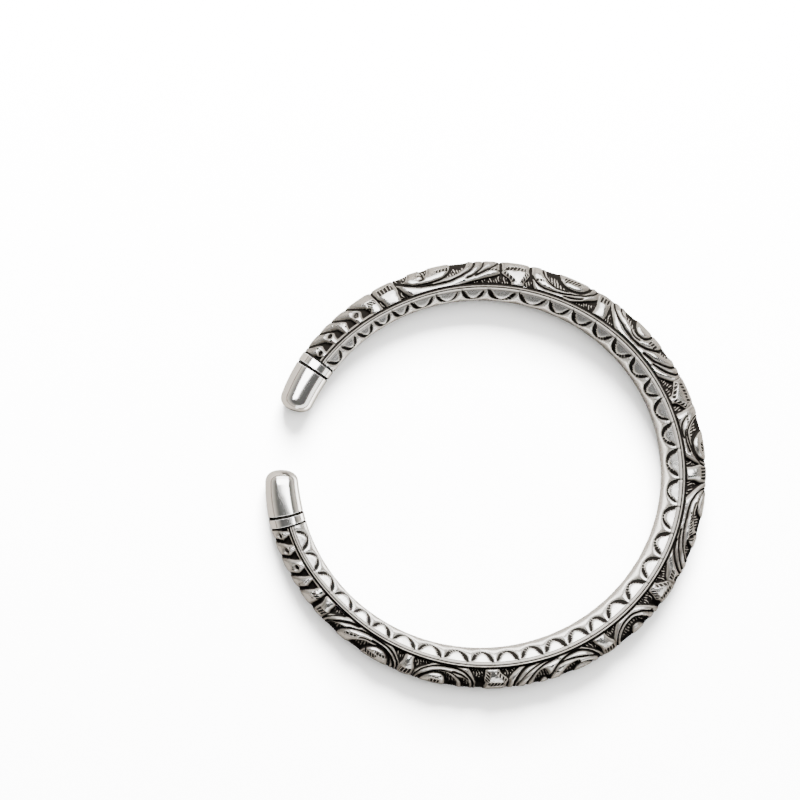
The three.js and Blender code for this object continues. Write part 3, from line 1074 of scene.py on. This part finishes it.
def handwork_group():
    """Fine marks of burnisher and polishing wheel, as a bent normal."""
    tree, given, out = new_group("Hand Finish", {"Scale": 900.0, "Strength": 0.2}, {"Normal": "Vector"})
    marks = noise(tree, given["Scale"], 4.0, 0.5)
    bump = node(tree, "ShaderNodeBump", Distance=0.0001, Strength=given["Strength"], Height=marks)
    feed(tree, out["Normal"], bump.outputs["Normal"])
    return tree


def group(name, maker):
    return bpy.data.node_groups.get(name) or maker()


class Polish(NamedTuple):
    """How a piece is finished. Its marks have a scale and a strength."""

    tone: str  # the colour's name in the Finish group
    roughness: float
    film: float  # how much of the tarnish shows
    scale: float
    strength: float


POLISHES = {
    "Chased Silver": Polish("crown", 0.17, 1.0, 1500, 0.25),
    "Smooth Silver": Polish("smooth", 0.24, 0.9, 700, 0.2),
    "Rail Silver": Polish("crown", 0.2, 1.0, 1200, 0.25),
    "Polished Silver": Polish("bright", 0.12, 0.06, 260, 0.12),
    "Neck Silver": Polish("crown", 0.4, 0.9, 700, 0.3),
}


def silver(name):
    """Silver with patina from the piece's ink and a hand finish."""
    finish, polish = values("finish"), POLISHES[name]
    material = bpy.data.materials.new(name)
    material.use_nodes = True
    tree = material.node_tree
    tones = {"Bright": polish.tone, "Worn": "worn", "Black": "black"}
    colours = {socket: (*getattr(finish, tone), 1) for socket, tone in tones.items()}
    ink = node(tree, "ShaderNodeAttribute", attribute_name="ink").outputs["Fac"]
    patina = node(tree, "ShaderNodeGroup", node_tree=group("Patina", patina_group), Ink=ink,
                  Gloss=polish.roughness, Film=polish.film, **colours)
    marks = node(tree, "ShaderNodeGroup", node_tree=group("Hand Finish", handwork_group),
                 Scale=polish.scale, Strength=polish.strength)
    shader = tree.nodes["Principled BSDF"].inputs
    shader["Specular IOR Level"].default_value = 0
    feed(tree, shader["Base Color"], patina.outputs["Color"])
    feed(tree, shader["Roughness"], patina.outputs["Roughness"])
    feed(tree, shader["Metallic"], patina.outputs["Metallic"])
    feed(tree, shader["Normal"], marks.outputs["Normal"])
    return material


def finish_piece(obj, material, slot, *nodes):
    obj.data.materials.clear()
    obj.data.materials.append(material)
    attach(obj, BODY)
    if nodes:
        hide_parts(*nodes)


# ---- operators


class BANGLE_OT_chased_face(bpy.types.Operator):
    """Make the chased outer face of the tube"""

    bl_idname = "bangle.chased_face"
    bl_label = "Chased Face"

    def execute(self, context):
        material = silver("Chased Silver")
        for number, (first, last) in enumerate(chased_sections(), 1):
            section = make_chased_section(f"chased_face_{number}", first, last)
            finish_piece(section, material, "chased_silver", "chased_tube")
        return {"FINISHED"}


class BANGLE_OT_inner_face(bpy.types.Operator):
    """Make the smooth inner face with its rows of punched half-moons"""

    bl_idname = "bangle.inner_face"
    bl_label = "Inner Face"

    def execute(self, context):
        material = silver("Smooth Silver")
        finish_piece(make_inner_face(), material, "chased_silver", "chased_tube")
        return {"FINISHED"}


class BANGLE_OT_rails(bpy.types.Operator):
    """Make the rails along both edges of the chased face"""

    bl_idname = "bangle.rails"
    bl_label = "Rails"

    def execute(self, context):
        material = silver("Rail Silver")
        for name, side in (("rail_upper", 1), ("rail_lower", -1)):
            finish_piece(make_rail(name, side), material, "chased_silver", "chased_tube")
        return {"FINISHED"}


class BANGLE_OT_ends(bpy.types.Operator):
    """Make the necks, collars and domed caps"""

    bl_idname = "bangle.ends"
    bl_label = "Collars and Caps"

    def execute(self, context):
        plain, dark = silver("Polished Silver"), silver("Neck Silver")
        for side, end in (("left", 1), ("right", -1)):
            finish_piece(make_neck(f"neck_{side}", end), dark, "chased_silver", "chased_tube")
            for kind, make in (("collar", make_collar), ("cap", make_cap)):
                name = f"{kind}_{side}"
                finish_piece(make(f"{name}_smooth", end), plain, "polished_silver", name)
        return {"FINISHED"}


# ---- the stage


class Light(NamedTuple):
    """A rectangular light that faces the bangle. Lengths are in metres."""

    place: tuple
    width: float
    height: float
    lights: bool  # falls on floor and silver
    mirrored: bool  # is seen in the silver


LIGHTS = {
    "lamp": Light((-0.15, 0.79, 0.58), 0.5, 0.46, True, False),
    "softbox": Light((-0.067, 0.354, 0.93), 1.7, 0.8, True, True),
    "window": Light((-0.145, 0.76, 0.46), 1.3, 0.5, False, True),
    "reflector": Light((0.58, -0.69, 0.4), 1.9, 0.5, False, True),
}
PAINTED_LIGHT_POOL = (0.028, 0.026)  # half length and half width of the painted pool of light in the floor's reflection, inside the ring
FLOOR_SIZE = 6
SENSOR_WIDTH = 36
VIEWPOINT = Vector((-118.187, 36.041, 591.73)) * MM
AIM = Vector((-19.518, 11.115, 4.0)) * MM
PICTURE_TURN = math.radians(10.75)  # of the picture's upright from +Y


class BANGLE_OT_stage(bpy.types.Operator):
    """Make the floor, the lights and the camera"""

    bl_idname = "bangle.stage"
    bl_label = "Stage"

    def execute(self, context):
        look = values("stage")
        self.make_floor(look)
        self.make_sky(context.scene, look)
        for name, light in LIGHTS.items():
            self.make_light(context.scene, name, light, getattr(look, name))
        self.make_camera(context.scene, look)
        return {"FINISHED"}

    def make_light(self, scene, name, light, power):
        data = bpy.data.lights.new(name, "AREA")
        data.shape = "RECTANGLE"
        data.size, data.size_y = light.width, light.height
        data.energy = power
        obj = bpy.data.objects.new(name, data)
        scene.collection.objects.link(obj)
        obj.location = light.place
        obj.rotation_mode = "QUATERNION"
        obj.rotation_quaternion = (-obj.location).to_track_quat("-Z", "Y")
        obj.visible_diffuse, obj.visible_glossy = light.lights, light.mirrored

    def make_floor(self, look):
        """A plain floor. The silver mirrors it with painted shade, and with a painted pool of light inside
        the ring that gives way to painted shadow towards the ring's +Y side.
        """
        floor = start_piece("floor", bpy.ops.mesh.primitive_plane_add, size=FLOOR_SIZE)
        material = bpy.data.materials.new("Pale Floor")
        material.use_nodes = True
        tree = material.node_tree
        place = object_place(tree)
        shrink = [1 / half for half in PAINTED_LIGHT_POOL]
        ellipse = node(tree, "ShaderNodeMapping", Vector=place, Scale=(*shrink, 0))
        distance = node(tree, "ShaderNodeVectorMath", operation="LENGTH", Vector=ellipse.outputs["Vector"])
        # painted shade in the floor's reflection near the bangle and outside the ring
        outside = ramp(tree, distance.outputs["Value"], 0.9, 1.08)
        across = node(tree, "ShaderNodeSeparateXYZ", Vector=place)
        # painted shadow across the pool of light towards +Y, where the ring's arc there shades the floor
        painted_shadow_side = ramp(tree, across.outputs["Y"], -0.01, 0.018)
        plain, painted_mirror_light, painted_mirror_shade = ((*tone, 1) for tone in (look.floor, look.painted_mirror_light, look.painted_mirror_shade))
        mirrored = mix(tree, outside, mix(tree, painted_shadow_side, painted_mirror_light, painted_mirror_shade, "RGBA"), painted_mirror_shade, "RGBA")
        # the silver sees this painted light and shade in place of the plain floor
        in_mirror = tree.nodes.new("ShaderNodeLightPath").outputs["Is Glossy Ray"]
        shader = tree.nodes["Principled BSDF"].inputs
        feed(tree, shader["Base Color"], mix(tree, in_mirror, plain, mirrored, "RGBA"))
        shader["Roughness"].default_value = 0.7
        floor.data.materials.append(material)

    def make_sky(self, scene, look):
        """A room that is pale low down and dark high up, with a dark foot."""
        world = bpy.data.worlds.new("studio")
        world.use_nodes = True
        tree = world.node_tree
        direction = tree.nodes.new("ShaderNodeTexCoord").outputs["Generated"]
        height = node(tree, "ShaderNodeSeparateXYZ", Vector=direction).outputs["Z"]
        haze, shade, skirting = ((*tone, 1) for tone in (look.haze, look.shade, look.skirting))
        room = mix(tree, ramp(tree, height, 0.05, 0.75), haze, shade, "RGBA")
        room = mix(tree, ramp(tree, height, 0.06, 0.12), skirting, room, "RGBA")
        background = tree.nodes["Background"].inputs
        feed(tree, background["Color"], room)
        background["Strength"].default_value = look.sky
        scene.world = world

    def make_camera(self, scene, look):
        data = bpy.data.cameras.new("camera")
        data.lens, data.sensor_width = look.lens, SENSOR_WIDTH
        camera = bpy.data.objects.new("camera", data)
        scene.collection.objects.link(camera)
        camera.location = VIEWPOINT
        back = (VIEWPOINT - AIM).normalized()
        upright = Vector((-math.sin(PICTURE_TURN), math.cos(PICTURE_TURN), 0))
        right = upright.cross(back).normalized()
        axes = Matrix((right, back.cross(right), back)).transposed()
        camera.rotation_mode = "QUATERNION"
        camera.rotation_quaternion = axes.to_quaternion()
        scene.camera = camera


OPERATORS = (
    BANGLE_OT_chased_face,
    BANGLE_OT_inner_face,
    BANGLE_OT_rails,
    BANGLE_OT_ends,
    BANGLE_OT_stage,
)


class BANGLE_PT_panel(bpy.types.Panel):
    """Lists the bangle's operators"""

    bl_label = "Ankle Bangle"
    bl_idname = "BANGLE_PT_panel"
    bl_space_type = "VIEW_3D"
    bl_region_type = "UI"
    bl_category = "Bangle"

    def draw(self, context):
        for operator in OPERATORS:
            self.layout.operator(operator.bl_idname)


GROUPS = {
    "ring": RingSizes,
    "chasing": ChasingSizes,
    "inner": InnerFaceSizes,
    "ends": EndSizes,
    "finish": Finish,
    "stage": StageLook,
}


def register():
    for cls in (*GROUPS.values(), *OPERATORS, BANGLE_PT_panel):
        bpy.utils.register_class(cls)
    for name, cls in GROUPS.items():
        setattr(bpy.types.Scene, "bangle_" + name, PointerProperty(type=cls))


def unregister():
    for name in GROUPS:
        delattr(bpy.types.Scene, "bangle_" + name)
    for cls in reversed((*GROUPS.values(), *OPERATORS, BANGLE_PT_panel)):
        bpy.utils.unregister_class(cls)


def main():
    register()
    bpy.ops.bangle.stage()
    bpy.ops.bangle.chased_face()
    bpy.ops.bangle.inner_face()
    bpy.ops.bangle.rails()
    bpy.ops.bangle.ends()


if __name__ == "__main__":
    main()
